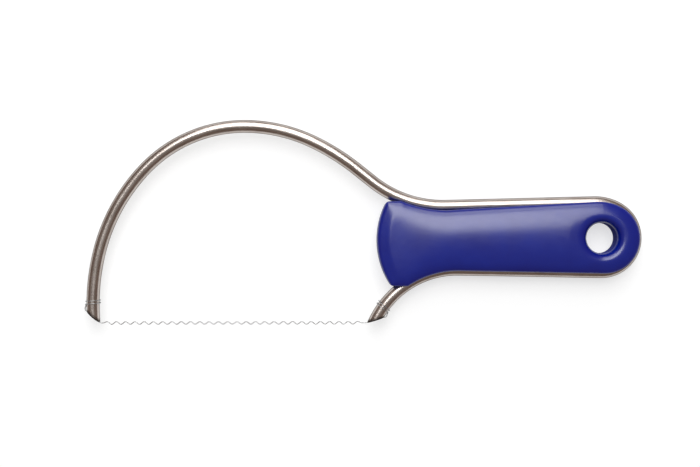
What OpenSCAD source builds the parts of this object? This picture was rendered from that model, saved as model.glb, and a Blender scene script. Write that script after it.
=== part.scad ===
// Clay cutting bow: a bent steel rod sprung round a moulded grip, with a wavy wire across its tips.
// The bow lies flat in the XY plane, with the rod's centreline at Z = 0.
// The origin is the centre of the hanging hole. +X points to the round end of the grip,
// +Y to the top of the arch, and +Z up out of the bow.
// Sizes of bends are measured at the rod's centreline.

/* [Rod] */
// Diameter of the round steel rod
rod_d = 5.2; // [4.4:0.1:6]

/* [Rod round the grip] */
// Distance from the hanging hole's centre to the centre of the end bend
bend_shift = 0.6; // [0:0.1:1.5]
// Radius of the end bend
end_bend_r = 13.7; // [12.5:0.1:15]
// Radius of the wider shoulder between the end bend and the top straight
end_shoulder_r = 18.6; // [15.5:0.1:22]
// Angle that the shoulder turns through
end_shoulder_sweep = 32; // [20:1:45]
// Angle at which the top straight closes in towards the waist
top_taper = 1.4; // [0.5:0.1:2.5]
// Angle at which the bottom straight closes in towards the waist
bottom_taper = 1; // [0.5:0.1:2.5]
// Length of the top straight
top_straight = 60.3; // [50:0.1:70]
// Length of the bottom straight
bottom_straight = 57.6; // [50:0.1:65]
// Radius of the flare from the top straight up to the arch
top_flare_r = 46; // [42:0.5:52]
// Angle that the top flare turns through
top_flare_sweep = 40; // [36:0.5:44]
// Radius of the flare from the bottom straight down to the right tip
bottom_flare_r = 37.3; // [34:0.1:42]

/* [Arch] */
// Length of the straight between the top flare and the arch
neck_straight = 8; // [5:0.1:12]
// Radius of the arch where it leaves the neck
neck_bend_r = 92; // [80:1:110]
// Angle that the bend at the neck turns through
neck_bend_sweep = 13; // [10:0.5:16]
// Radius of the arch behind its top
rear_bend_r = 65; // [58:0.5:72]
// Angle that the bend behind the top turns through
rear_bend_sweep = 25.7; // [22:0.1:30]
// Radius of the arch in front of its top
front_bend_r = 56; // [50:0.5:62]
// Angle that the bend in front of the top turns through
front_bend_sweep = 46.5; // [42:0.5:50]
// Radius of the arch above the left arm
upper_arm_r = 75; // [66:0.5:84]
// Angle that the bend above the left arm turns through
upper_arm_sweep = 29.2; // [26:0.1:32]
// Radius of the left arm, down to its tip
arm_r = 88; // [78:0.5:98]
// Distance from the hanging hole's centre down to both tips
tip_drop = 34.6; // [30:0.1:38]

/* [Tips] */
// Angle between the left tip's bevel and the rod
left_bevel = 45; // [40:1:60]
// Angle between the right tip's bevel and the rod
right_bevel = 50; // [40:1:60]
// Width that the wire's slot in each bevel leaves beyond the wire
slot_play = 0.2; // [0.1:0.05:0.4]
// Depth that the slot leaves beyond the wire
slot_cover = 0.05; // [0:0.05:0.3]

/* [Wire] */
// Diameter of the cutting wire
wire_d = 0.4; // [0.3:0.05:0.5]
// Length of one wave
wave_pitch = 3.77; // [3:0.01:5]
// Height of a wave from trough to peak, at the wire's centre
wave_height = 1.06; // [0.4:0.02:1.6]
// Least length of wire from a tip to the nearest peak
wave_lead = 2.5; // [2:0.1:5]
// Distance from a tip up the rod to where the wire starts to wind round it
wrap_start = 7.2; // [6.5:0.1:9]
// Distance between turns of the winding
wrap_pitch = 1.14; // [1:0.02:1.6]
// Turns of wire round each arm
wrap_turns = 1.5; // [1:0.25:3]
// Radius at which the wire turns from along the rod to round it
wrap_turn_r = 0.8; // [0.6:0.1:1.2]
// Gap between the rod and the wire beside it
wrap_gap = 0.1; // [0.05:0.05:0.3]

/* [Grip] */
// Distance from the hanging hole's centre to the grip's far end
grip_reach = 90.7; // [88:0.1:94]
// Thickness of the grip at its middle
grip_t = 15; // [13:0.5:18]
// Thickness of the lips above and below the rod, at their edge
lip_t = 1.3; // [1:0.1:1.8]
// Distance of the lips past the rod's centreline along the bottom
lip_bottom = 0.6; // [0.3:0.05:1]
// Distance of the lips past the rod's centreline round the end
lip_end = 0.95; // [0.5:0.05:1.2]
// Distance of the lips past the rod's centreline where the top straight starts
lip_top = 0.25; // [0:0.05:0.8]
// Distance that the lips stay short of the rod's centreline at the waist's top
lip_waist_short = 1.75; // [0.5:0.05:2]
// Distance that the lips stay short of the rod's centreline beside the top corner
lip_corner_short = 1.2; // [0.5:0.05:2]
// Angle of the top flare along which the grip follows the rod
top_follow = 21; // [17:0.5:24]
// Angle of the bottom flare along which the grip follows the rod
bottom_follow = 33.5; // [29:0.5:36]
// Radius of the grip's far end, seen from above
far_end_r = 33.6; // [30:0.1:38]
// Distance of that radius's centre below the hanging hole's centre
far_end_drop = 0.8; // [0:0.1:1.5]
// Length cut off the far end's two corners
corner_cut = 1.5; // [0.8:0.1:2.5]
// Width of the sloping band at the far end
end_band = 5.1; // [3.5:0.1:6.5]
// Gap between the rod and its groove
groove_gap = 0.05; // [0.02:0.01:0.15]

/* [Hanging hole] */
// Diameter of the hole's straight neck
hole_d = 12.2; // [10:0.1:14]
// Length of the hole's straight neck
hole_neck = 4.7; // [3:0.1:6]
// Diameter of the hole's rounded mouth at the face
mouth_d = 18.4; // [16:0.1:20]

/* [Hidden] */
$fn = 64;

steel = [0.62, 0.58, 0.55];
blue = [0.08, 0.1, 0.5];
bright_steel = [0.75, 0.75, 0.75];

// Length by which every cut runs past what it cuts
overrun = 1;

rod_r = rod_d / 2;
wire_r = wire_d / 2;
groove_r = rod_r + groove_gap;
// Distance from the rod's centreline to the centre of the wire beside it
wire_stand = rod_r + wrap_gap + wire_r;
// Depth of the slot, and of the wire's centre in it, below the bevel
slot_depth = wire_d + slot_cover;
wire_depth = wire_r + slot_cover / 2;

// Half the grip's thickness at the lips' edge and at its middle
edge_h = rod_r + lip_t;
face_h = grip_t / 2;

// Sides of the rod, and degrees of a bend between its rings
rod_sides = 20;
rod_step = 4;
// Rings of the wire: its sides, rings a wave, rings a turn, rings a bend and rings a corner
wire_sides = 6;
wave_rings = 8;
turn_rings = 24;
bend_rings = 5;
corner_rings = 3;
// Steps along each stretch of the grip's outline
bend_steps = 16;
shoulder_steps = 6;
straight_steps = 6;
flare_steps = 12;
far_end_steps = 14;
// Steps of a flare that have their own place on the grip's spine
flare_spine_steps = 6;
// Steps from the groove's edge to its floor, and the least height of a step where there is no groove
groove_rings = 5;
wall_step = 0.05;
// Where the rings of the grip's side lie between its edge and its spine, and how high they rise
side_in_shares = [0, 0.025, 0.08, 0.18, 0.36, 0.62];
side_rise_shares = [0, 0.22, 0.38, 0.57, 0.81, 0.96];
// The same at the far end: shares of the sloping band, and then shares of the way from its crest on
far_in_shares = [0, 0.12, 0.5, 1];
far_inner_shares = [0.3, 0.65];
far_rise_shares = [0, 0.24, 0.53, 0.74, 0.85, 0.95];

function unit(angle) = [cos(angle), sin(angle)];
function xy(pose) = [pose[0], pose[1]];
function flat(p) = [p[0], p[1], 0];
function mix(a, b, share) = a + (b - a) * share;
function degrees_of(length, radius) = length / radius * 180 / PI;
function tail(list) = [for (i = [1 : len(list) - 1]) list[i]];
function reversed(list) = [for (i = [len(list) - 1 : -1 : 0]) list[i]];

// A pose is [x, y, heading] on the rod's centreline.
// A run is [radius, turn, length], with a left turn positive, and radius 0 for a straight.
function arc_run(radius, turn) = [radius, turn, 0];
function straight_run(length) = [0, 0, length];
function centre_of(pose, run) = xy(pose) + run[0] * sign(run[1]) * unit(pose[2] + 90);
function after(pose, run) =
    let (heading = pose[2] + run[1])
    let (arc_end = centre_of(pose, run) - run[0] * sign(run[1]) * unit(heading + 90))
    let (end = run[0] == 0 ? xy(pose) + run[2] * unit(heading) : arc_end)
    [end[0], end[1], heading];
function part_of(run, share) = [run[0], run[1] * share, run[2] * share];
function poses(pose, runs, i = 0) =
    i == len(runs) ? [pose] : concat([pose], poses(after(pose, runs[i]), runs, i + 1));

// Turn of an arm's bend down to where the tip's inner edge is at the tips' level.
// The inner edge lies inner_side times the rod's radius from the bend's own radius.
function turn_to_tip(pose, radius, inner_side) =
    let (centre = centre_of(pose, arc_run(radius, 1)))
    let (rise = (-tip_drop - centre[1]) / (radius + inner_side * rod_r))
    270 - asin(rise) - pose[2];

// The rod, from the lower end of the end bend: over the arch to the left tip, and to the right tip
loop_sweep = 180 + top_taper + bottom_taper;
bend_centre = [bend_shift, 0];
loop_start = bend_centre + end_bend_r * unit(-90 - bottom_taper);
upper_start = [loop_start[0], loop_start[1], -bottom_taper];
lower_start = [loop_start[0], loop_start[1], 180 - bottom_taper];
end_bend = arc_run(end_bend_r, loop_sweep - end_shoulder_sweep);
end_shoulder = arc_run(end_shoulder_r, end_shoulder_sweep);
top_run = straight_run(top_straight);
top_flare = arc_run(top_flare_r, -top_flare_sweep);
upper_bends = [
    end_bend,
    end_shoulder,
    top_run,
    top_flare,
    straight_run(neck_straight),
    arc_run(neck_bend_r, neck_bend_sweep),
    arc_run(rear_bend_r, rear_bend_sweep),
    arc_run(front_bend_r, front_bend_sweep),
    arc_run(upper_arm_r, upper_arm_sweep)
];
left_arm_start = poses(upper_start, upper_bends)[len(upper_bends)];
left_arm = arc_run(arm_r, turn_to_tip(left_arm_start, arm_r, -1));
upper_runs = concat(upper_bends, [left_arm]);
upper_poses = poses(upper_start, upper_runs);

bottom_run = straight_run(bottom_straight);
right_arm_start = after(lower_start, bottom_run);
right_arm = arc_run(bottom_flare_r, turn_to_tip(right_arm_start, bottom_flare_r, 1));
lower_runs = [bottom_run, right_arm];
lower_poses = poses(lower_start, lower_runs);

// A tip is [pose at the rod's end, arm's bend radius, bend's centre, bevel, side].
// Side is 1 where the bow's inside is on the left of the arm's heading, and -1 on the right.
function tip(start, run, bevel, side) = [after(start, run), run[0], centre_of(start, run), bevel, side];
left_tip = tip(left_arm_start, left_arm, left_bevel, 1);
right_tip = tip(right_arm_start, right_arm, right_bevel, -1);

function tip_point(tip) = xy(tip[0]) + rod_r * unit(tip[0][2] + tip[4] * 90);
function bevel_heading(tip) = tip[0][2] + 180 + tip[4] * tip[3];
// A place in the bevel's plane: along it from the tip's point, and down into the rod
function on_bevel(tip, along, down) =
    tip_point(tip) + along * unit(bevel_heading(tip)) - down * unit(bevel_heading(tip) + tip[4] * 90);
// Distance along the bevel to where the wire's centre in the slot is that far from the rod's centreline
function bevel_reach(tip, across) = (rod_r - across + wire_depth * cos(tip[3])) / sin(tip[3]);
// A place beside the arm: up it from the tip, and an angle round it from the bow's inside
function on_arm(tip, up, around) =
    let (radius = tip[1] - tip[4] * wire_stand * cos(around))
    let (place = tip[2] + radius * unit(tip[0][2] - 90 - degrees_of(up, tip[1])))
    [place[0], place[1], wire_stand * sin(around)];

// The rod's centreline from the left tip to the right tip, with a point every few degrees of a bend
function run_points(pose, run) =
    let (steps = run[0] == 0 ? 1 : ceil(abs(run[1]) / rod_step))
    [for (i = [0 : steps - 1]) flat(after(pose, part_of(run, i / steps)))];
upper_points = [for (i = [0 : len(upper_runs) - 1]) each run_points(upper_poses[i], upper_runs[i])];
lower_points = [for (i = [0 : len(lower_runs) - 1]) each run_points(lower_poses[i], lower_runs[i])];
rod_route = concat(
    [flat(left_tip[0])],
    reversed(upper_points),
    tail(lower_points),
    [flat(right_tip[0])]
);

// Cuts a tip off along its bevel, and cuts the wire's slot along the middle of the bevel
module tip_cut(tip) {
    length = rod_d / sin(tip[3]) + 2 * overrun;
    slot_w = wire_d + slot_play;
    off_h = rod_d + overrun;
    translate(flat(tip_point(tip))) rotate(bevel_heading(tip)) scale([1, tip[4], 1]) {
        translate([-overrun, 0, -off_h / 2]) cube([length, off_h, off_h]);
        translate([-overrun, -slot_depth, -slot_w / 2]) cube([length, off_h, slot_w]);
    }
}

module frame_rod() {
    color(steel) difference() {
        tube(rod_route, rod_r, rod_sides);
        tip_cut(left_tip);
        tip_cut(right_tip);
    }
}

// The grip's edge, counter-clockwise from the bottom of the end bend.
// Each station is [place on the rod's centreline, direction out of the grip, reach of the lips past it].
function station(pose, out, reach) = [xy(pose), unit(pose[2] + out * 90), reach];
function edge_of(at) = at[0] + at[2] * at[1];
function beside(pose, run, out, steps, from, to) = [
    for (i = [0 : steps]) station(after(pose, part_of(run, i / steps)), out, mix(from, to, i / steps))
];
// Beside a flare the lips follow the rod, and then run on level to the corner
function level_off(stations, level) = [
    for (at = stations) [at[0], at[1], min(at[2], (level - at[0][1]) / at[1][1])]
];
end_side = concat(
    [for (i = [0 : bend_steps])
        let (share = i / bend_steps)
        let (reach = mix(lip_bottom, lip_end, sin(180 * share)))
        station(after(upper_start, part_of(end_bend, share)), -1, reach)],
    tail(beside(upper_poses[1], end_shoulder, -1, shoulder_steps, lip_bottom, lip_top))
);

top_flare_centre = centre_of(upper_poses[3], top_flare);
bottom_flare_centre = right_tip[2];
top_level = top_flare_centre[1] - (top_flare_r + lip_corner_short) * cos(top_follow);
bottom_level = bottom_flare_centre[1] + (bottom_flare_r - lip_bottom) * cos(bottom_follow);
far_centre = [far_end_r - grip_reach, -far_end_drop];
far_top_angle = 180 - asin((top_level - far_centre[1]) / far_end_r);
far_bottom_angle = 180 - asin((bottom_level - far_centre[1]) / far_end_r);
top_corner_x = far_centre[0] + far_end_r * cos(far_top_angle) + corner_cut;
bottom_corner_x = far_centre[0] + far_end_r * cos(far_bottom_angle) + corner_cut;
top_corner_turn = top_taper
    + atan((top_flare_centre[0] - top_corner_x) / (top_flare_centre[1] - top_level));
bottom_corner_turn = bottom_taper
    + atan((bottom_flare_centre[0] - bottom_corner_x) / (bottom_level - bottom_flare_centre[1]));
top_side = concat(
    beside(upper_poses[2], top_run, -1, straight_steps, lip_top, -lip_waist_short),
    tail(level_off(beside(upper_poses[3], arc_run(top_flare_r, -top_corner_turn), -1, flare_steps,
                          -lip_waist_short, -lip_corner_short), top_level))
);
bottom_side = concat(
    beside(lower_start, bottom_run, 1, straight_steps, lip_bottom, lip_bottom),
    tail(level_off(beside(right_arm_start, arc_run(bottom_flare_r, bottom_corner_turn), 1, flare_steps,
                          lip_bottom, lip_bottom), bottom_level))
);

// At the far end no rod runs, so its stations lie clear of the groove
corner_turn = degrees_of(corner_cut, far_end_r);
far_clear = 2 * groove_r;
far_side = [
    for (i = [0 : far_end_steps])
        let (angle = mix(far_top_angle + corner_turn, far_bottom_angle - corner_turn, i / far_end_steps))
        let (out = unit(angle))
        [far_centre + (far_end_r + far_clear) * out, out, -far_clear]
];
stations = concat(end_side, tail(top_side), far_side, reversed(tail(bottom_side)));
station_count = len(stations);
end_steps = bend_steps + shoulder_steps;
side_steps = straight_steps + flare_steps;
function is_far(i) = i > end_steps + side_steps && i <= end_steps + side_steps + 1 + far_end_steps;

// The spine runs midway between the top and bottom sides, and ends short of the far end
spine_count = straight_steps + flare_spine_steps + 1;
spine = [for (i = [0 : spine_count - 1]) (edge_of(top_side[i]) + edge_of(bottom_side[i])) / 2];
function spine_step(i) =
    let (along = max(i - end_steps, 0))
    min(along, station_count - i, spine_count - 1);

// A section of the grip at one station, from the spine over the upper lip to the groove's floor.
// Its points on the face are placed by their share of the way in and of the rise.
face_rings = len(side_in_shares);
function far_in_share(way_in, ring) =
    let (crest_ring = len(far_in_shares) - 1)
    let (crest_share = end_band / way_in)
    ring <= crest_ring
        ? far_in_shares[ring] * crest_share
        : mix(crest_share, 1, far_inner_shares[ring - crest_ring - 1]);
function face_point(i, ring) =
    let (edge = edge_of(stations[i]))
    let (inner = spine[spine_step(i)])
    let (in_share = is_far(i) ? far_in_share(norm(edge - inner), ring) : side_in_shares[ring])
    let (rise_share = is_far(i) ? far_rise_shares[ring] : side_rise_shares[ring])
    let (place = mix(edge, inner, in_share))
    [place[0], place[1], mix(edge_h, face_h, rise_share)];
function groove_point(i, ring) =
    let (at = stations[i])
    let (first = acos(max(min(at[2] / groove_r, 1), -1)))
    let (half_step = (180 - first) / groove_rings / 2)
    let (corner_r = groove_r / cos(half_step))
    let (around = mix(first, 180, ring / groove_rings))
    let (across = ring == 0 ? at[2] : min(at[2], corner_r * cos(around)))
    let (place = at[0] + across * at[1])
    let (rise = max(groove_r * sin(around), wall_step * (groove_rings - ring)))
    [place[0], place[1], rise];
function upper_section(i) = concat(
    [for (ring = [face_rings - 1 : -1 : 0]) face_point(i, ring)],
    [for (ring = [0 : groove_rings]) groove_point(i, ring)]
);
function section(i) =
    let (upper = upper_section(i))
    concat(upper, [for (p = tail(reversed(upper))) [p[0], p[1], -p[2]]]);

// The grip before its hole: a skin of sections, closed along the spine on both faces
module grip_blank() {
    sections = [for (i = [0 : station_count - 1]) section(i)];
    rings = len(sections[0]);
    skin_size = rings * station_count;
    points = concat(
        [for (s = sections) each s],
        [for (p = spine) [p[0], p[1], face_h]],
        [for (p = spine) [p[0], p[1], -face_h]]
    );
    function at(i, ring) = (i % station_count) * rings + ring;
    function crest(side, i) = skin_size + side * spine_count + spine_step(i % station_count);
    faces = concat(
        [for (i = [0 : station_count - 1]) for (ring = [0 : rings - 2]) each [
            [at(i, ring), at(i + 1, ring), at(i, ring + 1)],
            [at(i + 1, ring), at(i + 1, ring + 1), at(i, ring + 1)]
        ]],
        [for (i = [0 : station_count - 1]) each [
            [crest(0, i), at(i + 1, 0), at(i, 0)],
            [crest(1, i), at(i, rings - 1), at(i + 1, rings - 1)]
        ]],
        [for (i = [0 : station_count - 1]) if (crest(0, i) != crest(0, i + 1)) each [
            [crest(0, i), crest(0, i + 1), at(i + 1, 0)],
            [crest(1, i), at(i + 1, rings - 1), crest(1, i + 1)]
        ]]
    );
    polyhedron(points = points, faces = faces);
}

// The hanging hole: a straight neck that opens through a rounded mouth at each face
module hanging_hole() {
    hole_r = hole_d / 2;
    mouth_r = mouth_d / 2;
    neck_h = hole_neck / 2;
    mouth_w = mouth_r - hole_r;
    mouth_h = face_h - neck_h;
    round_r = (mouth_h * mouth_h + mouth_w * mouth_w) / (2 * mouth_w);
    cylinder(h = hole_neck + 2 * overrun, r = hole_r, center = true);
    for (side = [0, 1]) mirror([0, 0, side]) rotate_extrude() difference() {
        translate([0, neck_h]) square([mouth_r, mouth_h + overrun]);
        translate([hole_r + round_r, neck_h]) circle(r = round_r);
    }
}

module handle() {
    color(blue) difference() {
        grip_blank();
        hanging_hole();
    }
}

// The wire's route at one tip, from the inside of the bow: over the tip's point, through the slot,
// up the outside of the arm and round it
function rounded(corner, from, to, cut) = [
    for (i = [0 : corner_rings])
        let (share = i / corner_rings)
        let (start = corner + cut * (from - corner) / norm(from - corner))
        let (end = corner + cut * (to - corner) / norm(to - corner))
        mix(mix(start, corner, share), mix(corner, end, share), share)
];
function slot_in(tip) = flat(on_bevel(tip, bevel_reach(tip, wire_stand), wire_depth));
function slot_out(tip) = flat(on_bevel(tip, bevel_reach(tip, -wire_stand), wire_depth));
function wire_end(tip, from) =
    let (slope = atan(wrap_pitch / (2 * PI * wire_stand)))
    let (turned = wrap_turn_r * (1 - cos(90 - slope)))
    let (risen = wrap_start + wrap_turn_r * sin(90 - slope))
    let (swept = degrees_of(turned, wire_stand))
    let (rings = round(wrap_turns * turn_rings))
    let (winding = [
        for (i = [0 : rings])
            let (around = mix(swept, wrap_turns * 360, i / rings))
            on_arm(tip, risen + wrap_pitch * (around - swept) / 360, 180 - around)
    ])
    let (way = (winding[rings] - winding[rings - 1]) / norm(winding[rings] - winding[rings - 1]))
    concat(
        rounded(slot_in(tip), from, slot_out(tip), wire_d),
        rounded(slot_out(tip), slot_in(tip), on_arm(tip, wrap_start, 180), wire_d),
        [for (i = [0 : bend_rings - 1])
            let (bend = (90 - slope) * i / bend_rings)
            on_arm(tip, wrap_start + wrap_turn_r * sin(bend),
                   180 - degrees_of(wrap_turn_r * (1 - cos(bend)), wire_stand))],
        winding,
        [winding[rings] + wire_d * way]
    );

// The wavy stretch between the tips: level at both ends, with whole waves from peak to peak
wire_from = slot_in(left_tip);
wire_to = slot_in(right_tip);
wire_way = (wire_to - wire_from) / norm(wire_to - wire_from);
wire_up = cross([0, 0, 1], wire_way);
wave_count = floor((norm(wire_to - wire_from) - 2 * wave_lead) / wave_pitch);
wave_peak = wave_height / 2;
half_rings = wave_rings / 2;
function wave_point(along, up) = wire_from + along * wire_way + up * wire_up;
function wave_swing(i) = wave_peak * (1 - cos(180 * i / half_rings)) / 2;
ring_step = wave_pitch / wave_rings;
waves = concat(
    [for (i = [0 : half_rings - 1]) wave_point(wave_lead - (half_rings - i) * ring_step, wave_swing(i))],
    [for (i = [0 : wave_count * wave_rings])
        wave_point(wave_lead + i * ring_step, wave_peak * cos(360 * i / wave_rings))],
    [for (i = [1 : half_rings])
        wave_point(wave_lead + (wave_count * wave_rings + i) * ring_step, wave_swing(half_rings - i))]
);
wire_route = concat(
    reversed(wire_end(left_tip, waves[0])),
    waves,
    wire_end(right_tip, waves[len(waves) - 1])
);

// Least gap of the wire to itself, between points that are further apart along it than they are wide
function step_of(route, i) = norm(route[min(i + 1, len(route) - 1)] - route[i]);
function lengths(route) = [
    for (i = 0, sum = 0; i < len(route); sum = sum + step_of(route, i), i = i + 1) sum
];
wire_lengths = lengths(wire_route);
wire_gap = min([
    for (i = [0 : len(wire_route) - 2]) for (j = [i + 1 : len(wire_route) - 1])
        if (wire_lengths[j] - wire_lengths[i] > wave_pitch / 2) norm(wire_route[j] - wire_route[i])
]) - wire_d;
echo(wire_gap = wire_gap, wire_length = wire_lengths[len(wire_route) - 1], waves = wave_count);

// A closed tube along a route, with its sides carried along without twist
module tube(route, radius, sides) {
    last = len(route) - 1;
    ways = [for (i = [0 : last]) let (d = route[min(i + 1, last)] - route[max(i - 1, 0)]) d / norm(d)];
    function carried(normal, way) = let (n = normal - (normal * way) * way) n / norm(n);
    function way(i) = ways[min(i, last)];
    normals = [
        for (i = 0, n = carried([0, 0, 1], ways[0]); i <= last; n = carried(n, way(i + 1)), i = i + 1) n
    ];
    points = [
        for (i = [0 : last]) for (k = [0 : sides - 1])
            let (turn = 360 * k / sides)
            route[i] + radius * (cos(turn) * normals[i] + sin(turn) * cross(ways[i], normals[i]))
    ];
    function at(i, k) = i * sides + k % sides;
    faces = concat(
        [for (k = [1 : sides - 2]) [at(0, 0), at(0, k), at(0, k + 1)]],
        [for (i = [0 : last - 1]) for (k = [0 : sides - 1]) each [
            [at(i, k), at(i + 1, k), at(i, k + 1)],
            [at(i, k + 1), at(i + 1, k), at(i + 1, k + 1)]
        ]],
        [for (k = [1 : sides - 2]) [at(last, 0), at(last, k + 1), at(last, k)]]
    );
    polyhedron(points = points, faces = faces);
}

module cutting_wire() {
    color(bright_steel) tube(wire_route, wire_r, wire_sides);
}

frame_rod();
handle();
cutting_wire();
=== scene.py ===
# Clay cutting bow: a bent steel rod sprung round a moulded grip, with a wavy wire across its tips.
import math
from collections import namedtuple

import bmesh
import bpy
import numpy as np
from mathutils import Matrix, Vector


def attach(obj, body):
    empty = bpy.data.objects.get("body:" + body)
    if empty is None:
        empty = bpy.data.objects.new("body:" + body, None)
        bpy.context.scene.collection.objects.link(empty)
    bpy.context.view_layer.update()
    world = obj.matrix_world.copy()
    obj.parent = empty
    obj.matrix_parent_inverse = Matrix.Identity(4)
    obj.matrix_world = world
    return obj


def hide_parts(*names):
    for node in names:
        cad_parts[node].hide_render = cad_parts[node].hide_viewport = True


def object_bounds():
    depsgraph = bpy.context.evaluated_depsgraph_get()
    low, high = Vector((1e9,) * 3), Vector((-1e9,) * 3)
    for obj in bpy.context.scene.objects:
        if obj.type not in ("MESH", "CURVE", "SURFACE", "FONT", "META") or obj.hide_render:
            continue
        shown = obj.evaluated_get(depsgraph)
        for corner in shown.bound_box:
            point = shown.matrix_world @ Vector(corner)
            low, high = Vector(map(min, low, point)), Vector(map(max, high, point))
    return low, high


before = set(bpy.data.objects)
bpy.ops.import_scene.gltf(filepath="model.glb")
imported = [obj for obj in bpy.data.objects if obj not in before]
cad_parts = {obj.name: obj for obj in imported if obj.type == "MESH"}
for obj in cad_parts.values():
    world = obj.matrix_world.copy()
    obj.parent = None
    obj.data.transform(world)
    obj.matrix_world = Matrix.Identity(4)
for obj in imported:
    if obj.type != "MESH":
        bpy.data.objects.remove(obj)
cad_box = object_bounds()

# Sizes are in millimetres and angles in degrees, as the solids have them
MM = 0.001
ROD_R = 2.6

BEND_SHIFT = 0.6
END_BEND_R = 13.7
END_SHOULDER_R = 18.6
END_SHOULDER_SWEEP = 32
TOP_TAPER = 1.4
BOTTOM_TAPER = 1
TOP_STRAIGHT = 60.3
BOTTOM_STRAIGHT = 57.6
TOP_FLARE_R = 46
TOP_FLARE_SWEEP = 40
BOTTOM_FLARE_R = 37.3

NECK_STRAIGHT = 8
NECK_BEND = (92, 13)
REAR_BEND = (65, 25.7)
FRONT_BEND = (56, 46.5)
UPPER_ARM_BEND = (75, 29.2)
ARM_R = 88
TIP_DROP = 34.6

LEFT_BEVEL = 45
RIGHT_BEVEL = 50
SLOT_W = 0.6
SLOT_DEPTH = 0.45
TIP_EDGE_R = 0.5

WIRE_R = 0.2
WIRE_DEPTH = 0.225
WIRE_STAND = 2.9
WAVE_PITCH = 3.77
WAVE_PEAK = 0.53
WAVE_LEAD = 2.5
WRAP_START = 7.2
WRAP_PITCH = 1.14
WRAP_TURNS = 1.5
WRAP_TURN_R = 0.8
WIRE_BOW = 0.35

EDGE_H = 3.9
FACE_H = 7.5
GROOVE_R = 2.65
LIP_BOTTOM = 0.6
LIP_END = 0.95
LIP_TOP = 0.25
LIP_WAIST_SHORT = 1.75
LIP_CORNER_SHORT = 1.2
TOP_FOLLOW = 21
BOTTOM_FOLLOW = 33.5
GRIP_REACH = 90.7
FAR_END_R = 33.6
FAR_END_DROP = 0.8
CORNER_CUT = 1.5
END_BAND = 5.1
HOLE_R = 6.1
NECK_H = 2.35
MOUTH_R = 9.2

# Fineness of the meshes
ROD_SIDES = 48
ROD_STEP = 0.8
WIRE_SIDES = 10
WAVE_RINGS = 24
CORNER_RINGS = 6
TURN_RINGS = 60
RUN_RINGS = 8
SIDE_STEPS = 132
HOLE_STEPS = 18
END_STEPS = 72
FAR_STEPS = 40
ROUND_STEPS = 6
FACE_RINGS = 44
GROOVE_RINGS = 12
# Points closer together than this are merged
MERGE_GAP = 0.0005
# Edges that turn more than this are kept sharp
ROD_SHARP_TURN = 40
GRIP_SHARP_TURN = 50
WIRE_SHARP_TURN = 60


def unit(angle):
    return np.array([math.cos(math.radians(angle)), math.sin(math.radians(angle))])


def mix(a, b, share):
    return a + (b - a) * share


def smooth(share):
    share = min(max(share, 0.0), 1.0)
    return share * share * (3 - 2 * share)


def mesh_object(name, points, faces):
    """A mesh object in the scene, from points in millimetres."""
    mesh = bpy.data.meshes.new(name)
    mesh.from_pydata([tuple(float(v) * MM for v in p) for p in points], [], faces)
    mesh.validate()
    mesh.update()
    obj = bpy.data.objects.new(name, mesh)
    bpy.context.scene.collection.objects.link(obj)
    return obj


def tidy_mesh(obj, sharp_angle=180):
    """Merges doubled points, turns the faces outward, and marks the edges sharper than an angle."""
    work = bmesh.new()
    work.from_mesh(obj.data)
    bmesh.ops.remove_doubles(work, verts=work.verts, dist=MERGE_GAP * MM)
    bmesh.ops.recalc_face_normals(work, faces=work.faces)
    for face in work.faces:
        face.smooth = True
    for edge in work.edges:
        edge.smooth = edge.calc_face_angle(0) < math.radians(sharp_angle)
    work.to_mesh(obj.data)
    work.free()


# The rod's route. A pose is (place, heading) on its centreline.
# A run is (radius, turn, length), with a left turn positive, and radius 0 for a straight.
def arc(radius, turn):
    return (radius, turn, 0)


def straight(length):
    return (0, 0, length)


def centre_of(pose, run):
    return pose[0] + run[0] * math.copysign(1, run[1]) * unit(pose[1] + 90)


def after(pose, run, share=1):
    place, heading = pose
    radius, turn, length = run
    if radius == 0:
        return place + share * length * unit(heading), heading
    turned = heading + share * turn
    return centre_of(pose, run) - radius * math.copysign(1, turn) * unit(turned + 90), turned


def chain(pose, runs):
    poses = [pose]
    for run in runs:
        poses.append(after(poses[-1], run))
    return poses


def length_of(run):
    return abs(math.radians(run[1])) * run[0] + run[2]


def poses_along(starts, runs):
    """Poses a short step apart along the runs, without the end of the last."""
    found = []
    for start, run in zip(starts, runs):
        steps = max(1, math.ceil(length_of(run) / ROD_STEP))
        found += [after(start, run, i / steps) for i in range(steps)]
    return found


def turn_to_tip(pose, radius, inner_side):
    """Turn of an arm's bend down to where the tip's inner edge is at the tips' level."""
    centre = centre_of(pose, arc(radius, 1))
    rise = (-TIP_DROP - centre[1]) / (radius + inner_side * ROD_R)
    return 270 - math.degrees(math.asin(rise)) - pose[1]


LOOP_SWEEP = 180 + TOP_TAPER + BOTTOM_TAPER
LOOP_START = np.array([BEND_SHIFT, 0.0]) + END_BEND_R * unit(-90 - BOTTOM_TAPER)
UPPER_START = (LOOP_START, -BOTTOM_TAPER)
LOWER_START = (LOOP_START, 180 - BOTTOM_TAPER)
END_BEND = arc(END_BEND_R, LOOP_SWEEP - END_SHOULDER_SWEEP)
END_SHOULDER = arc(END_SHOULDER_R, END_SHOULDER_SWEEP)
TOP_RUN = straight(TOP_STRAIGHT)
TOP_FLARE = arc(TOP_FLARE_R, -TOP_FLARE_SWEEP)
UPPER_RUNS = [
    END_BEND,
    END_SHOULDER,
    TOP_RUN,
    TOP_FLARE,
    straight(NECK_STRAIGHT),
    arc(*NECK_BEND),
    arc(*REAR_BEND),
    arc(*FRONT_BEND),
    arc(*UPPER_ARM_BEND),
]
LEFT_ARM_START = chain(UPPER_START, UPPER_RUNS)[-1]
LEFT_ARM = arc(ARM_R, turn_to_tip(LEFT_ARM_START, ARM_R, -1))
UPPER_RUNS.append(LEFT_ARM)
UPPER_POSES = chain(UPPER_START, UPPER_RUNS)

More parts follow.
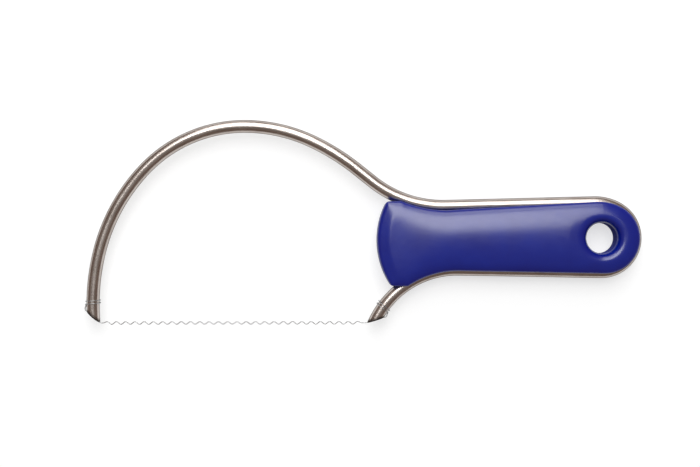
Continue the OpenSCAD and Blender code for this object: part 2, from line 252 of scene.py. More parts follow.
BOTTOM_RUN = straight(BOTTOM_STRAIGHT)
RIGHT_ARM_START = after(LOWER_START, BOTTOM_RUN)
RIGHT_ARM = arc(BOTTOM_FLARE_R, turn_to_tip(RIGHT_ARM_START, BOTTOM_FLARE_R, 1))
LOWER_RUNS = [BOTTOM_RUN, RIGHT_ARM]
LOWER_POSES = chain(LOWER_START, LOWER_RUNS)

# Side is 1 where the bow's inside is on the left of the arm's heading, and -1 on the right
Tip = namedtuple("Tip", "place heading radius centre bevel side")


def make_tip(start, run, bevel, side):
    place, heading = after(start, run)
    return Tip(place, heading, run[0], centre_of(start, run), bevel, side)


LEFT_TIP = make_tip(LEFT_ARM_START, LEFT_ARM, LEFT_BEVEL, 1)
RIGHT_TIP = make_tip(RIGHT_ARM_START, RIGHT_ARM, RIGHT_BEVEL, -1)


def arm_point(tip, up, across, height):
    """A point by a tip: up the arm, across towards the bow's inside, and above the bow's plane."""
    x, y = tip.centre + (tip.radius - tip.side * across) * unit(
        tip.heading - 90 - math.degrees(up / tip.radius))
    return (x, y, height)


def tip_point(tip):
    return tip.place + ROD_R * unit(tip.heading + tip.side * 90)


def bevel_heading(tip):
    return tip.heading + 180 + tip.side * tip.bevel


def on_bevel(tip, along, down, height=0.0):
    """A point by the bevel: along it from the tip's point, down into the rod, and above the bow's plane."""
    x, y = (tip_point(tip) + along * unit(bevel_heading(tip))
            - down * unit(bevel_heading(tip) + tip.side * 90))
    return (x, y, height)


# How far up the arm a bevel's plane is looked for, and how often the stretch is halved
SEARCH_REACH = 6 * ROD_R
SEARCH_HALVINGS = 40


def bevel_up(tip, across):
    """How far up the arm a line along it meets the bevel's plane."""
    out = unit(bevel_heading(tip) + tip.side * 90)
    low, high = -ROD_R, SEARCH_REACH
    for _ in range(SEARCH_HALVINGS):
        middle = (low + high) / 2
        point = np.array(arm_point(tip, middle, across, 0)[:2])
        if np.dot(point - tip_point(tip), out) > 0:
            low = middle
        else:
            high = middle
    return low


# The rod. Rings lean with a bevel at its tip, and have straightened this far up the arm.
TIP_BLEND = 12
# Rings across a bevel's flat face, and the first one's size in steps between them
FLAT_STEPS = 4
FLAT_START = 0.05
# The bevel's rough cut finish and its painted shade reach this many edge radii up from it
CUT_AND_SHADE_REACH = 2.2
# Length by which the saw runs past a bevel, and the length that it cuts
SAW_OVERRUN = 1.0
SAW_LENGTH = 3.2 * ROD_R
RING_ANGLES = [360 * k / ROD_SIDES for k in range(ROD_SIDES)]


def tip_ring(tip, up, inset=0.0, lift=0.0):
    """A ring by a tip, which leans with the bevel and straightens up the arm."""
    lean = 1 - smooth(up / TIP_BLEND)
    ring = []
    for angle in RING_ANGLES:
        across, height = (ROD_R - inset) * unit(angle)
        ring.append(arm_point(tip, up + lift + lean * bevel_up(tip, across), across, height))
    return ring


def tip_rings(tip):
    """Rings from a bevel's middle over its rounded edge and up the arm, with their distance up it."""
    flat_r = ROD_R - TIP_EDGE_R
    rings = []
    for k in (FLAT_START, *range(1, FLAT_STEPS)):
        rings.append((tip_ring(tip, 0, ROD_R - flat_r * k / FLAT_STEPS), 0.0))
    for k in range(ROUND_STEPS + 1):
        angle = math.radians(90 * k / ROUND_STEPS)
        inset = TIP_EDGE_R * (1 - math.sin(angle))
        lift = TIP_EDGE_R * (1 - math.cos(angle))
        rings.append((tip_ring(tip, 0, inset, lift), lift))
    steps = math.ceil(TIP_BLEND / ROD_STEP)
    for k in range(1, steps):
        up = TIP_BLEND * k / steps
        rings.append((tip_ring(tip, up, 0, TIP_EDGE_R * (1 - k / steps)), up))
    return rings


def rod_body_rings():
    """Rings along the rod between the two tips' own rings, with their distance from the left tip."""
    upper = [(place, heading + 180) for place, heading in poses_along(UPPER_POSES, UPPER_RUNS)]
    lower = poses_along(LOWER_POSES, LOWER_RUNS)
    route = upper[::-1] + lower[1:]
    whole = sum(map(length_of, UPPER_RUNS + LOWER_RUNS))
    rings = []
    travelled = math.dist(LEFT_TIP.place, route[0][0])
    for i, (place, heading) in enumerate(route):
        travelled += math.dist(place, route[i - 1][0]) if i else 0
        if travelled < TIP_BLEND or travelled > whole - TIP_BLEND:
            continue
        ring = []
        for angle in RING_ANGLES:
            across, height = ROD_R * unit(angle)
            x, y = place + across * unit(heading - 90)
            ring.append((x, y, height))
        rings.append((ring, travelled))
    return rings, whole


def loft(rings):
    """Faces between rings of as many points, and over the first and last ring."""
    sides = len(rings[0])
    faces = [
        (i * sides + k, i * sides + (k + 1) % sides, (i + 1) * sides + (k + 1) % sides, (i + 1) * sides + k)
        for i in range(len(rings) - 1) for k in range(sides)
    ]
    last = (len(rings) - 1) * sides
    return faces + [tuple(range(sides)), tuple(range(last, last + sides))]


def mark_places(obj, places):
    """Keeps each point's distance along a round piece and its direction round it, for the finish."""
    attribute = obj.data.attributes.new("surface_place", "FLOAT_VECTOR", "POINT")
    attribute.data.foreach_set("vector", np.array(places, np.float32).ravel())


def mark_cuts_and_shade(obj, shares):
    """Keeps how much each point belongs to a cut face, for its rougher finish and the painted shade on it.
    """
    attribute = obj.data.attributes.new("cut_and_shade", "FLOAT", "POINT")
    attribute.data.foreach_set("value", np.array(shares, np.float32))


def cut_slot(rod, tip):
    """Saws the wire's slot along the middle of a bevel."""
    corners = [
        on_bevel(tip, along, down, height)
        for along in (-SAW_OVERRUN, SAW_LENGTH)
        for down in (-SAW_OVERRUN, SLOT_DEPTH)
        for height in (-SLOT_W / 2, SLOT_W / 2)
    ]
    faces = [(0, 1, 3, 2), (4, 6, 7, 5), (0, 4, 5, 1), (2, 3, 7, 6), (0, 2, 6, 4), (1, 5, 7, 3)]
    saw = mesh_object("saw", corners, faces)
    tidy_mesh(saw)
    modifier = rod.modifiers.new("slot", "BOOLEAN")
    modifier.object = saw
    modifier.operation = "DIFFERENCE"
    modifier.solver = "EXACT"
    cut = bpy.data.meshes.new_from_object(rod.evaluated_get(bpy.context.evaluated_depsgraph_get()))
    rod.modifiers.clear()
    rod.data = cut
    bpy.data.objects.remove(saw)


def build_rod():
    body, whole = rod_body_rings()
    left, right = tip_rings(LEFT_TIP), tip_rings(RIGHT_TIP)
    rings = left + body + [(ring, whole - up) for ring, up in reversed(right)]
    rod = mesh_object("rod", [p for ring, _ in rings for p in ring], loft([ring for ring, _ in rings]))
    mark_places(rod, [(along, *unit(angle)) for _, along in rings for angle in RING_ANGLES])
    to_end = [min(along, whole - along) for _, along in rings]
    # Share of the cut bevel at each point, for its rough finish and its painted shade
    mark_cuts_and_shade(rod, [smooth(CUT_AND_SHADE_REACH - up / TIP_EDGE_R) for up in to_end for _ in RING_ANGLES])
    tidy_mesh(rod)
    cut_slot(rod, LEFT_TIP)
    cut_slot(rod, RIGHT_TIP)
    tidy_mesh(rod, ROD_SHARP_TURN)
    return rod


# The grip. A station is a place on the rod's centreline, the way out of the grip from there,
# and how far the lips reach past it.
Station = namedtuple("Station", "place out reach")


def station(pose, out_turn, reach):
    return Station(pose[0], unit(pose[1] + out_turn), reach)


def edge_of(at):
    return at.place + at.reach * at.out


TOP_FLARE_CENTRE = centre_of(UPPER_POSES[3], TOP_FLARE)
BOTTOM_FLARE_CENTRE = RIGHT_TIP.centre
TOP_LEVEL = TOP_FLARE_CENTRE[1] - (TOP_FLARE_R + LIP_CORNER_SHORT) * math.cos(math.radians(TOP_FOLLOW))
BOTTOM_LEVEL = (BOTTOM_FLARE_CENTRE[1]
                + (BOTTOM_FLARE_R - LIP_BOTTOM) * math.cos(math.radians(BOTTOM_FOLLOW)))
FAR_CENTRE = np.array([FAR_END_R - GRIP_REACH, -FAR_END_DROP])


def far_angle(level):
    return 180 - math.degrees(math.asin((level - FAR_CENTRE[1]) / FAR_END_R))


def corner_x(level):
    return FAR_CENTRE[0] + FAR_END_R * math.cos(math.radians(far_angle(level))) + CORNER_CUT


TOP_CORNER_TURN = TOP_TAPER + math.degrees(math.atan(
    (TOP_FLARE_CENTRE[0] - corner_x(TOP_LEVEL)) / (TOP_FLARE_CENTRE[1] - TOP_LEVEL)))
BOTTOM_CORNER_TURN = BOTTOM_TAPER + math.degrees(math.atan(
    (BOTTOM_FLARE_CENTRE[0] - corner_x(BOTTOM_LEVEL)) / (BOTTOM_LEVEL - BOTTOM_FLARE_CENTRE[1])))


def end_stations():
    """Round the grip's end, from the bottom straight to the top one."""
    stations = []
    bend, shoulder = length_of(END_BEND), length_of(END_SHOULDER)
    for i in range(END_STEPS + 1):
        reached = (bend + shoulder) * i / END_STEPS
        if reached <= bend:
            share = reached / bend
            reach = mix(LIP_BOTTOM, LIP_END, math.sin(math.pi * share))
            stations.append(station(after(UPPER_START, END_BEND, share), -90, reach))
        else:
            share = (reached - bend) / shoulder
            reach = mix(LIP_BOTTOM, LIP_TOP, share)
            stations.append(station(after(UPPER_POSES[1], END_SHOULDER, share), -90, reach))
    return stations


def side_stations(start, run, flare, out_turn, level, reaches):
    """Along one side of the grip, from its end to its corner. Past the flare the lips run on level."""
    straight_l, flare_l = length_of(run), length_of(flare)
    flare_start = after(start, run)
    first, waist, corner = reaches
    stations = []
    for i in range(SIDE_STEPS + 1):
        reached = (straight_l + flare_l) * i / SIDE_STEPS
        if reached <= straight_l:
            share = reached / straight_l
            stations.append(station(after(start, run, share), out_turn, mix(first, waist, share)))
        else:
            share = (reached - straight_l) / flare_l
            at = station(after(flare_start, flare, share), out_turn, mix(waist, corner, share))
            stations.append(at._replace(reach=min(at.reach, (level - at.place[1]) / at.out[1])))
    return stations


def far_stations():
    """Across the far end, from the top corner to the bottom one, with both corners rounded."""
    corner_turn = math.degrees(CORNER_CUT / FAR_END_R)
    first, last = far_angle(TOP_LEVEL), far_angle(BOTTOM_LEVEL)

    def arc_point(angle):
        return FAR_CENTRE + FAR_END_R * unit(angle)

    def rounded(start, corner, end, steps):
        return [mix(mix(start, corner, k / steps), mix(corner, end, k / steps), k / steps)
                for k in range(steps + 1)]

    top = rounded(np.array([corner_x(TOP_LEVEL), TOP_LEVEL]), arc_point(first),
                  arc_point(first + corner_turn), ROUND_STEPS)
    bottom = rounded(arc_point(last - corner_turn), arc_point(last),
                     np.array([corner_x(BOTTOM_LEVEL), BOTTOM_LEVEL]), ROUND_STEPS)
    middle = [arc_point(mix(first + corner_turn, last - corner_turn, i / FAR_STEPS))
              for i in range(1, FAR_STEPS)]
    clear = 2 * GROOVE_R
    points = top[1:] + middle + bottom[:-1]
    stations = []
    for i, point in enumerate(points):
        before, behind = points[max(i - 1, 0)], points[min(i + 1, len(points) - 1)]
        way = behind - before
        out = np.array([way[1], -way[0]]) / -np.hypot(*way)
        stations.append(Station(point + clear * out, out, -clear))
    return stations


TOP_SIDE = side_stations(UPPER_POSES[2], TOP_RUN, arc(TOP_FLARE_R, -TOP_CORNER_TURN), -90, TOP_LEVEL,
                         (LIP_TOP, -LIP_WAIST_SHORT, -LIP_CORNER_SHORT))
BOTTOM_SIDE = side_stations(LOWER_START, BOTTOM_RUN, arc(BOTTOM_FLARE_R, BOTTOM_CORNER_TURN), 90,
                            BOTTOM_LEVEL, (LIP_BOTTOM, LIP_BOTTOM, LIP_BOTTOM))
TOP_EDGE = np.array([edge_of(at) for at in reversed(TOP_SIDE)])
BOTTOM_EDGE = np.array([edge_of(at) for at in reversed(BOTTOM_SIDE)])

# The face is an oval crown across the grip. It falls away over the band at the far end.
CROWN_POWER = 2.15
LIP_SHARE = 0.985
BAND_EDGE_SHARE = 0.34
BAND_CREST_SHARE = 0.76
BAND_FADE = 26
# Share of the band's width over which its outer edge is rounded
BAND_ROUND_SHARE = 0.3
CREST_ROUND = 0.05
JOIN_POWER = 9
# Least share of the crown's height, which keeps its powers finite
LEAST_SHARE = 1e-3
MOUTH_ROUND = 1.7
# The spine, where the sections meet, ends this far in from the far end
SPINE_SHORT = 3 * END_BAND
# How much the rings of the face crowd towards the lips and the spine
RING_CROWDING = 0.7


def edges_at(x):
    """The top and the bottom lip's y at a place along the grip."""
    top = np.interp(x, TOP_EDGE[:, 0], TOP_EDGE[:, 1])
    bottom = np.interp(x, BOTTOM_EDGE[:, 0], BOTTOM_EDGE[:, 1])
    return top, bottom


def middle_y(x):
    top, bottom = edges_at(x)
    return (top + bottom) / 2


def across_share(x, y):
    """How far out a point of the face lies between the spine, 0, and the lips, 1."""
    if x > BEND_SHIFT:
        place = np.array([x - BEND_SHIFT, y])
        return np.hypot(*place) / end_radius(math.degrees(math.atan2(y, x - BEND_SHIFT)))
    top, bottom = edges_at(x)
    return abs(y - (top + bottom) / 2) / ((top - bottom) / 2)


END_STATIONS = end_stations()
END_EDGE = np.array([edge_of(at) - (BEND_SHIFT, 0) for at in END_STATIONS])
END_ANGLES = np.degrees(np.unwrap(np.arctan2(END_EDGE[:, 1], END_EDGE[:, 0])))
END_RADII = np.hypot(END_EDGE[:, 0], END_EDGE[:, 1])


def end_radius(angle):
    return np.interp(angle, END_ANGLES, END_RADII)


def softened_min(a, b, width):
    """The lower of two heights, rounded where they cross."""
    overlap = max(width - abs(a - b), 0) / width
    return min(a, b) - overlap * overlap * width / 4


def oval(share):
    share = min(max(share, 0), 1)
    return (1 - share ** CROWN_POWER) ** (1 / CROWN_POWER)


def far_rise(depth):
    """Height share at a distance in from the far end: up the sloping band to its crest, and slowly on."""
    edge = BAND_EDGE_SHARE * oval(1 - min(depth / (BAND_ROUND_SHARE * END_BAND), 1))
    band = edge + (BAND_CREST_SHARE - BAND_EDGE_SHARE) * depth / END_BAND
    on = BAND_CREST_SHARE + (1 - BAND_CREST_SHARE) * math.sin(
        math.pi / 2 * min(max((depth - END_BAND) / BAND_FADE, -1), 1))
    return softened_min(band, on, CREST_ROUND)


def far_depth(x, y):
    """Distance of a point of the face in from the far end's arc."""
    chord = math.sqrt(FAR_END_R ** 2 - (y - FAR_CENTRE[1]) ** 2)
    return max(x - FAR_CENTRE[0] + chord, 0) * chord / FAR_END_R


def face_height(x, y):
    """Height of the upper face, with the hanging hole's rounded mouth."""
    side = max(oval(LIP_SHARE * across_share(x, y)), LEAST_SHARE)
    far = max(far_rise(far_depth(x, y)), LEAST_SHARE)
    rise = (side ** -JOIN_POWER + far ** -JOIN_POWER - 1) ** (-1 / JOIN_POWER)
    height = EDGE_H + (FACE_H - EDGE_H) * rise
    radius = math.hypot(x, y)
    if radius > MOUTH_R + 3 * MOUTH_ROUND:
        return height
    mouth_h, mouth_w = FACE_H - NECK_H, MOUTH_R - HOLE_R
    round_r = (mouth_h ** 2 + mouth_w ** 2) / (2 * mouth_w)
    out = min(max(radius - HOLE_R, 0), round_r)
    mouth = NECK_H + math.sqrt(max(round_r ** 2 - (round_r - out) ** 2, 0))
    # The rounding is whole as far as its own width past the mouth, and gone at three of them
    away = smooth((radius - MOUTH_R - MOUTH_ROUND) / (2 * MOUTH_ROUND))
    return mix(softened_min(height, mouth, MOUTH_ROUND), height, away)


def groove_points(at):
    """Down from the lip's edge over the groove's wall to its floor."""
    first = math.degrees(math.acos(max(min(at.reach / GROOVE_R, 1), -1)))
    points = []
    for ring in range(GROOVE_RINGS + 1):
        around = mix(first, 180, ring / GROOVE_RINGS)
        across = at.reach if ring == 0 else min(at.reach, GROOVE_R * math.cos(math.radians(around)))
        wall = EDGE_H * (1 - (ring + 1) / (GROOVE_RINGS + 1)) if first == 180 else 0
        x, y = at.place + across * at.out
        points.append((x, y, max(GROOVE_R * math.sin(math.radians(around)), wall)))
    points[-1] = (*points[-1][:2], 0.0)
    return points


def build_grip():
    inner_x = np.linspace(-HOLE_R, FAR_CENTRE[0] - FAR_END_R + SPINE_SHORT, SIDE_STEPS - HOLE_STEPS + 1)
    spine = [np.array([x, middle_y(x)]) for x in inner_x]
    spine[0] = np.array([-HOLE_R, 0.0])
    first = math.degrees(math.atan2(*reversed(edge_of(TOP_SIDE[0]))))
    last = math.degrees(math.atan2(*reversed(edge_of(BOTTOM_SIDE[0]))))

    def side_target(i, start_angle, end_angle):
        if i <= HOLE_STEPS:
            return HOLE_R * unit(mix(start_angle, end_angle, i / HOLE_STEPS))
        return spine[i - HOLE_STEPS]

    ends = [(at, HOLE_R * unit(mix(last, first, i / END_STEPS))) for i, at in enumerate(END_STATIONS)]
    tops = [(at, side_target(i, first, 180)) for i, at in enumerate(TOP_SIDE)]
    bottoms = [(at, side_target(i, last, -180)) for i, at in enumerate(BOTTOM_SIDE)]
    fars = [(at, spine[-1]) for at in far_stations()]
    loop = ends + tops[1:] + fars + bottoms[:0:-1]

    shares = [mix(i / FACE_RINGS, smooth(i / FACE_RINGS), RING_CROWDING) for i in range(FACE_RINGS + 1)]
    sections = []
    for at, target in loop:
        edge = edge_of(at)
        face = []
        for share in reversed(shares):
            x, y = mix(edge, target, share)
            face.append((x, y, face_height(x, y)))
        sections.append(face + groove_points(at))
    rings = len(sections[0])
    points = [p for section in sections for p in section]
    faces = []
    for i in range(len(loop)):
        here, there = i * rings, (i + 1) % len(loop) * rings
        for k in range(rings - 1):
            faces.append((here + k, here + k + 1, there + k + 1, there + k))

    # The hole's neck, from the mouth down to the middle
    hole = list(range(len(loop) - HOLE_STEPS, len(loop))) + list(range(END_STEPS + HOLE_STEPS + 1))
    neck = len(points)
    points += [(*points[i * rings][:2], 0.0) for i in hole]
    for k in range(len(hole) - 1):
        faces.append((hole[k] * rings, hole[k + 1] * rings, neck + k + 1, neck + k))

    count = len(points)
    points += [(x, y, -z) for x, y, z in points]
    faces += [tuple(count + i for i in reversed(face)) for face in faces]
    grip = mesh_object("grip", points, faces)
    tidy_mesh(grip, GRIP_SHARP_TURN)
    return grip


# The wire
def rounded_corner(corner, before, behind, cut):
    """Points round a corner of the wire's route."""
    corner, before, behind = map(np.array, (corner, before, behind))
    start = corner + cut * (before - corner) / np.linalg.norm(before - corner)
    end = corner + cut * (behind - corner) / np.linalg.norm(behind - corner)
    return [mix(mix(start, corner, k / CORNER_RINGS), mix(corner, end, k / CORNER_RINGS), k / CORNER_RINGS)
            for k in range(CORNER_RINGS + 1)]


def bevel_reach(tip, across):
    bevel = math.radians(tip.bevel)
    return (ROD_R - across + WIRE_DEPTH * math.cos(bevel)) / math.sin(bevel)


def slot_in(tip):
    return np.array(on_bevel(tip, bevel_reach(tip, WIRE_STAND), WIRE_DEPTH))


def slot_out(tip):
    return np.array(on_bevel(tip, bevel_reach(tip, -WIRE_STAND), WIRE_DEPTH))


def beside_arm(tip, up, around):
    """A point where the wire lies on the arm, at an angle round it from the bow's inside."""
    across, height = WIRE_STAND * unit(around)
    return np.array(arm_point(tip, up, across, height))


def outside_run(tip):
    """The wire's way up the outside of the arm to the winding, bowed a little off the rod."""
    start = bevel_up(tip, -WIRE_STAND)
    run = []
    for k in range(1, RUN_RINGS):
        share = k / RUN_RINGS
        across = -WIRE_STAND - WIRE_BOW * math.sin(math.pi * share)
        run.append(np.array(arm_point(tip, mix(start, WRAP_START, share), across, 0.0)))
    return run


def wire_end(tip, before):
    """From the wavy stretch through the slot, up the outside of the arm and round it."""
    slope = math.degrees(math.atan(WRAP_PITCH / (2 * math.pi * WIRE_STAND)))
    swept = math.degrees(WRAP_TURN_R * (1 - math.cos(math.radians(90 - slope))) / WIRE_STAND)
    risen = WRAP_START + WRAP_TURN_R * math.sin(math.radians(90 - slope))
    turn = []
    for k in range(CORNER_RINGS):
        bend = math.radians((90 - slope) * k / CORNER_RINGS)
        around = 180 - math.degrees(WRAP_TURN_R * (1 - math.cos(bend)) / WIRE_STAND)
        turn.append(beside_arm(tip, WRAP_START + WRAP_TURN_R * math.sin(bend), around))
    winding = []
    steps = round(WRAP_TURNS * TURN_RINGS)
    for k in range(steps + 1):
        around = mix(swept, WRAP_TURNS * 360, k / steps)
        winding.append(beside_arm(tip, risen + WRAP_PITCH * (around - swept) / 360, 180 - around))
    way = winding[-1] - winding[-2]
    cut = 2 * WIRE_R
    bowed = outside_run(tip)
    return (rounded_corner(slot_in(tip), before, slot_out(tip), cut)
            + rounded_corner(slot_out(tip), slot_in(tip), bowed[0], cut)
            + bowed[1:] + turn + winding + [winding[-1] + cut * way / np.linalg.norm(way)])


def waves():
    """The wavy stretch: whole waves from peak to peak, level at both ends."""
    start, end = slot_in(LEFT_TIP), slot_in(RIGHT_TIP)
    way = (end - start) / np.linalg.norm(end - start)
    up = np.cross((0, 0, 1), way)
    count = math.floor((np.linalg.norm(end - start) - 2 * WAVE_LEAD) / WAVE_PITCH)
    half = WAVE_RINGS // 2
    points = []
    for i in range(-half, count * WAVE_RINGS + half + 1):
        if 0 <= i <= count * WAVE_RINGS:
            height = WAVE_PEAK * math.cos(2 * math.pi * i / WAVE_RINGS)
        else:
            beyond = -i if i < 0 else i - count * WAVE_RINGS
            height = WAVE_PEAK * (1 + math.cos(math.pi * beyond / half)) / 2
        points.append(start + (WAVE_LEAD + i * WAVE_PITCH / WAVE_RINGS) * way + height * up)
    return points


def build_wire():
    middle = waves()
    route = wire_end(LEFT_TIP, middle[0])[::-1] + middle + wire_end(RIGHT_TIP, middle[-1])
    normal = np.array([0.0, 0.0, 1.0])
    points, places, travelled = [], [], 0.0
    for i, place in enumerate(route):
        way = route[min(i + 1, len(route) - 1)] - route[max(i - 1, 0)]
        way = way / np.linalg.norm(way)
        normal = normal - np.dot(normal, way) * way
        normal = normal / np.linalg.norm(normal)
        travelled += np.linalg.norm(place - route[i - 1]) if i else 0
        for k in range(WIRE_SIDES):
            around, across = unit(360 * k / WIRE_SIDES)
            points.append(place + WIRE_R * (around * normal + across * np.cross(way, normal)))
            places.append((travelled, around, across))
    rings = [points[i:i + WIRE_SIDES] for i in range(0, len(points), WIRE_SIDES)]
    wire = mesh_object("wire", points, loft(rings))
    mark_places(wire, places)
    tidy_mesh(wire, WIRE_SHARP_TURN)
    return wire


# Looks of the steel. Scales are for one millimetre along a piece and one radius across it.
MARK_SCALE = (1.7, 1.6, 1.6)
BLOTCH_SCALE = (0.12, 1.1, 1.1)
TONE_RANGE = (0.7, 1.3)
STREAK_RANGE = (0.3, 0.7)
ROUGHNESS_SWING = 0.06
# Height of the marks beside the streaks, and of the whole relief
MARK_WEIGHT = 3.0
STEEL_RELIEF = 0.01
# Painted shade: a near-black colour on the cut bevels that stands in for their shaded faces. Their rougher
# cut finish, below, is the steel's own.
BEVEL_SHADE_COLOUR = (0.05, 0.04, 0.035)
SAWN_ROUGHNESS = 0.5

# Looks of the plastic. Scales are for one metre.
BLUE_STOPS = [(0.3, (0.0, 0.007, 0.215)), (0.7, (0.0, 0.011, 0.255))]
MOTTLE_SCALE = 90
GRAIN_SCALE = 1500
GRAIN_RELIEF = 0.012
SCUFF_SCALE = (260, 420, 400)
SCUFF_RANGE = (0.35, 0.65)
SHEEN_ROUGHNESS = (0.22, 0.26)
DULL_PLASTIC = 1.0
# The plastic is dull up to one height above the neck, and has its sheen from the other on
DULL_RISE = 0.6
GLOSS_RISE = 2.0

# Sockets of a Mix node that mixes colours
MIX_FIRST = 6
MIX_SECOND = 7
MIX_RESULT = 2


class Nodes:
    """A node tree, with short calls to add and join nodes."""

    def __init__(self, tree):
        self.tree = tree
        self.tree.nodes.clear()

    def add(self, kind, inputs=None, **settings):
        node = self.tree.nodes.new(kind)
        for key, value in settings.items():
            setattr(node, key, value)
        for key, value in (inputs or {}).items():
            self.put(node.inputs[key], value)
        return node

    def put(self, socket, value):
        if isinstance(value, bpy.types.NodeSocket):
            self.tree.links.new(value, socket)
        else:
            socket.default_value = value

    def maths(self, operation, *values, clamp=False):
        node = self.add("ShaderNodeMath", dict(enumerate(values)), operation=operation, use_clamp=clamp)
        return node.outputs["Value"]

    def ramp(self, factor, stops):
        node = self.add("ShaderNodeValToRGB", {"Fac": factor})
        while len(node.color_ramp.elements) < len(stops):
            node.color_ramp.elements.new(0.5)
        for element, (place, colour) in zip(node.color_ramp.elements, stops):
            element.position = place
            element.color = (*colour, 1)
        return node.outputs["Color"]

    def noise(self, vector, scale, detail=4, roughness=0.5):
        node = self.add("ShaderNodeTexNoise", {"Vector": vector, "Scale": scale, "Detail": detail,
                                               "Roughness": roughness})
        return node.outputs["Fac"]

    def scaled(self, vector, scale):
        node = self.add("ShaderNodeVectorMath", {0: vector, 1: scale}, operation="MULTIPLY")
        return node.outputs["Vector"]

    def ranged(self, value, low, high, from_low=0.0, from_high=1.0):
        node = self.add("ShaderNodeMapRange", {"Value": value, "From Min": from_low, "From Max": from_high,
                                               "To Min": low, "To Max": high})
        return node.outputs["Result"]

    def darkened(self, colour, share, dark):
        node = self.add("ShaderNodeMix", {"Factor": share}, data_type="RGBA")
        self.put(node.inputs[MIX_FIRST], colour)
        self.put(node.inputs[MIX_SECOND], (*dark, 1))
        return node.outputs[MIX_RESULT]

    def bump(self, height, distance):
        node = self.add("ShaderNodeBump", {"Height": height, "Distance": distance, "Strength": 1.0})
        return node.outputs["Normal"]

    def seen(self):
        """1 for the camera's rays and for those that gloss, metal or glass shows, and 0 for the rest."""
        rays = self.add("ShaderNodeLightPath").outputs
        gloss = self.maths("ADD", rays["Is Glossy Ray"], rays["Is Transmission Ray"])
        return self.maths("ADD", rays["Is Camera Ray"], gloss, clamp=True)


def new_material(name):
    material = bpy.data.materials.new(name)
    material.use_nodes = True
    return material, Nodes(material.node_tree)


def finished(material, nodes, shader):
    nodes.add("ShaderNodeOutputMaterial", {"Surface": shader})
    return material


def steel_material(name, dark, light, streak_l, streak_w, roughness):
    """Drawn steel with streaks along it, fine marks and blotches. The cut bevels are duller and carry
    painted shade.
    """
    material, nodes = new_material(name)
    place = nodes.add("ShaderNodeAttribute", attribute_name="surface_place").outputs["Vector"]
    cut_and_shade = nodes.add("ShaderNodeAttribute", attribute_name="cut_and_shade").outputs["Fac"]
    streak_scale = (1 / streak_l, 1 / streak_w, 1 / streak_w)
    streaks = nodes.noise(nodes.scaled(place, streak_scale), scale=1.0, detail=6, roughness=0.62)
    marks = nodes.noise(nodes.scaled(place, MARK_SCALE), scale=1.0, detail=3, roughness=0.6)
    blotches = nodes.noise(nodes.scaled(place, BLOTCH_SCALE), scale=1.0, detail=3)
    tone = nodes.ranged(nodes.maths("ADD", streaks, blotches), 0, 1, *TONE_RANGE)
    # The cut bevels are darkened with painted shade
    colour = nodes.darkened(nodes.ramp(tone, [(0.0, dark), (1.0, light)]), cut_and_shade, BEVEL_SHADE_COLOUR)
    smoothest, roughest = roughness - ROUGHNESS_SWING, roughness + ROUGHNESS_SWING
    rough = nodes.ranged(streaks, smoothest, roughest, *STREAK_RANGE)
    rough = nodes.maths("MAXIMUM", rough, nodes.maths("MULTIPLY", cut_and_shade, SAWN_ROUGHNESS))
    relief = nodes.maths("MULTIPLY_ADD", marks, MARK_WEIGHT, streaks)
    shader = nodes.add("ShaderNodeBsdfPrincipled", {
        "Base Color": colour, "Metallic": 1.0, "Roughness": rough, "Specular Tint": (0, 0, 0, 1),
        "Normal": nodes.bump(relief, STEEL_RELIEF * MM)})
    return finished(material, nodes, shader.outputs["BSDF"])


def grip_material():
    """Moulded plastic with a waxy sheen, faint mottling and fine scuffs, dull in the groove and neck."""
    material, nodes = new_material("blue_grip")
    place = nodes.add("ShaderNodeTexCoord").outputs["Object"]
    mottle = nodes.noise(place, MOTTLE_SCALE, detail=4)
    grain = nodes.noise(place, GRAIN_SCALE, detail=3)
    scuffs = nodes.noise(nodes.scaled(place, SCUFF_SCALE), scale=1.0, detail=4, roughness=0.6)
    colour = nodes.ramp(mottle, BLUE_STOPS)
    height = nodes.maths("ABSOLUTE", nodes.add("ShaderNodeSeparateXYZ", {"Vector": place}).outputs["Z"])
    dull = nodes.ranged(height, DULL_PLASTIC, 0, (NECK_H + DULL_RISE) * MM, (NECK_H + GLOSS_RISE) * MM)
    rough = nodes.maths("MAXIMUM", nodes.ranged(scuffs, *SHEEN_ROUGHNESS, *SCUFF_RANGE), dull)
    shader = nodes.add("ShaderNodeBsdfPrincipled", {
        "Base Color": colour, "Roughness": rough, "IOR": 1.5, "Specular IOR Level": 0.8,
        "Normal": nodes.bump(grain, GRAIN_RELIEF * MM)})
    return finished(material, nodes, shader.outputs["BSDF"])


# The pieces
PIECES = [
    (build_rod(), "frame_rod", "steel",
     steel_material("brushed_rod", dark=(0.44, 0.385, 0.35), light=(0.63, 0.58, 0.545),
                    streak_l=22, streak_w=0.1, roughness=0.27)),
    (build_grip(), "handle", "grip", grip_material()),
    (build_wire(), "cutting_wire", "wire",
     steel_material("bright_wire", dark=(0.38, 0.385, 0.39), light=(0.55, 0.56, 0.57),
                    streak_l=3, streak_w=0.4, roughness=0.4)),
]
for piece, node, slot, material in PIECES:
    piece.data.materials.clear()
    piece.data.materials.append(material)
    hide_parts(node)
    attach(piece, "root")

# Floor, lights and camera, in metres
FLOOR_SIZE = 30
FLOOR_Z = cad_box[0].z
PAPER_WHITE = 0.45
PAPER_GLOW = 0.66
# Strength of the light on rough surfaces, and the room's colours from below to overhead
ROOM_LIGHT = 0.22
ROOM_STOPS = [(0.0, (0.18, 0.12, 0.095)), (0.33, (0.19, 0.13, 0.105)), (0.64, (0.21, 0.16, 0.135)),
              (0.85, (0.25, 0.215, 0.195)), (1.0, (0.29, 0.27, 0.26))]
MIDDLE = Vector((-0.096, 0.006, 0.0))
CAMERA_PLACE = (-0.10155, 0.00183, 0.43)
# Focal length and sensor width, in millimetres
LENS = 54.38
SENSOR_W = 36


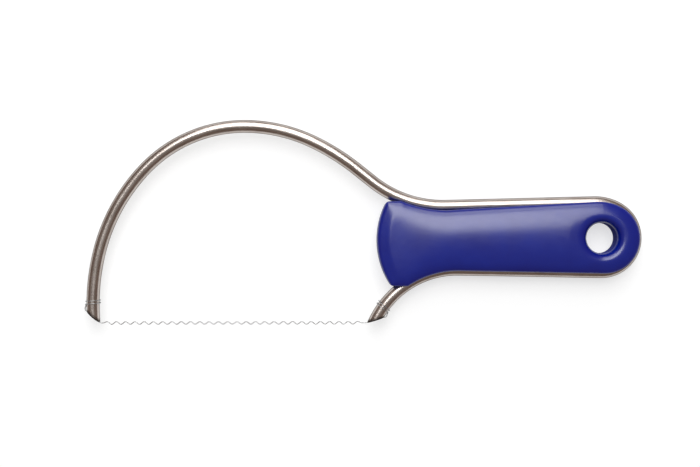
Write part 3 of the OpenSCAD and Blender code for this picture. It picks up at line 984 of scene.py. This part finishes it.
def build_floor():
    """Pale paper. Its glow, which lights nothing, brings it up to white where it is seen or mirrored."""
    half = FLOOR_SIZE / 2 / MM
    corners = [(x * half, y * half, FLOOR_Z / MM) for x, y in ((-1, -1), (1, -1), (1, 1), (-1, 1))]
    floor = mesh_object("floor", corners, [(0, 1, 2, 3)])
    material, nodes = new_material("paper")
    paper = nodes.add("ShaderNodeBsdfDiffuse", {"Color": (PAPER_WHITE, PAPER_WHITE, PAPER_WHITE, 1)})
    strength = nodes.maths("MULTIPLY", nodes.seen(), PAPER_GLOW)
    glow = nodes.add("ShaderNodeEmission", {"Strength": strength})
    both = nodes.add("ShaderNodeAddShader", {0: paper.outputs["BSDF"], 1: glow.outputs["Emission"]})
    floor.data.materials.append(finished(material, nodes, both.outputs["Shader"]))


def build_world():
    """A dim warm room, lighter overhead, which gives rough surfaces a plain even light."""
    world = bpy.data.worlds.new("studio")
    bpy.context.scene.world = world
    world.use_nodes = True
    nodes = Nodes(world.node_tree)
    way = nodes.add("ShaderNodeTexCoord").outputs["Generated"]
    rise = nodes.add("ShaderNodeSeparateXYZ", {"Vector": way}).outputs["Z"]
    room = nodes.add("ShaderNodeBackground", {"Color": nodes.ramp(rise, ROOM_STOPS)})
    plain = nodes.add("ShaderNodeBackground", {"Color": (1, 1, 1, 1), "Strength": ROOM_LIGHT})
    on_rough = nodes.add("ShaderNodeLightPath").outputs["Is Diffuse Ray"]
    both = nodes.add("ShaderNodeMixShader", {0: on_rough, 1: room.outputs["Background"],
                                             2: plain.outputs["Background"]})
    nodes.add("ShaderNodeOutputWorld", {"Surface": both.outputs["Shader"]})


def softbox(name, way, size, power):
    """A rectangular lamp in a direction from the object's middle, which it faces."""
    lamp = bpy.data.lights.new(name, "AREA")
    lamp.shape = "RECTANGLE"
    lamp.size, lamp.size_y = size
    lamp.energy = power
    obj = bpy.data.objects.new(name, lamp)
    obj.location = MIDDLE + Vector(way)
    obj.rotation_euler = (-Vector(way)).to_track_quat("-Z", "Y").to_euler()
    obj.visible_camera = False
    bpy.context.scene.collection.objects.link(obj)


build_floor()
build_world()
softbox("key", way=(-0.02, 0.42, 0.907), size=(0.72, 0.62), power=7.0)
softbox("fill", way=(-0.02, 0.829, 0.559), size=(0.72, 0.38), power=2.6)

camera_data = bpy.data.cameras.new("camera")
camera_data.sensor_fit = "HORIZONTAL"
camera_data.sensor_width = SENSOR_W
camera_data.lens = LENS
camera = bpy.data.objects.new("camera", camera_data)
camera.location = CAMERA_PLACE
bpy.context.scene.collection.objects.link(camera)
bpy.context.scene.camera = camera

bpy.context.scene.view_settings.view_transform = "Standard"
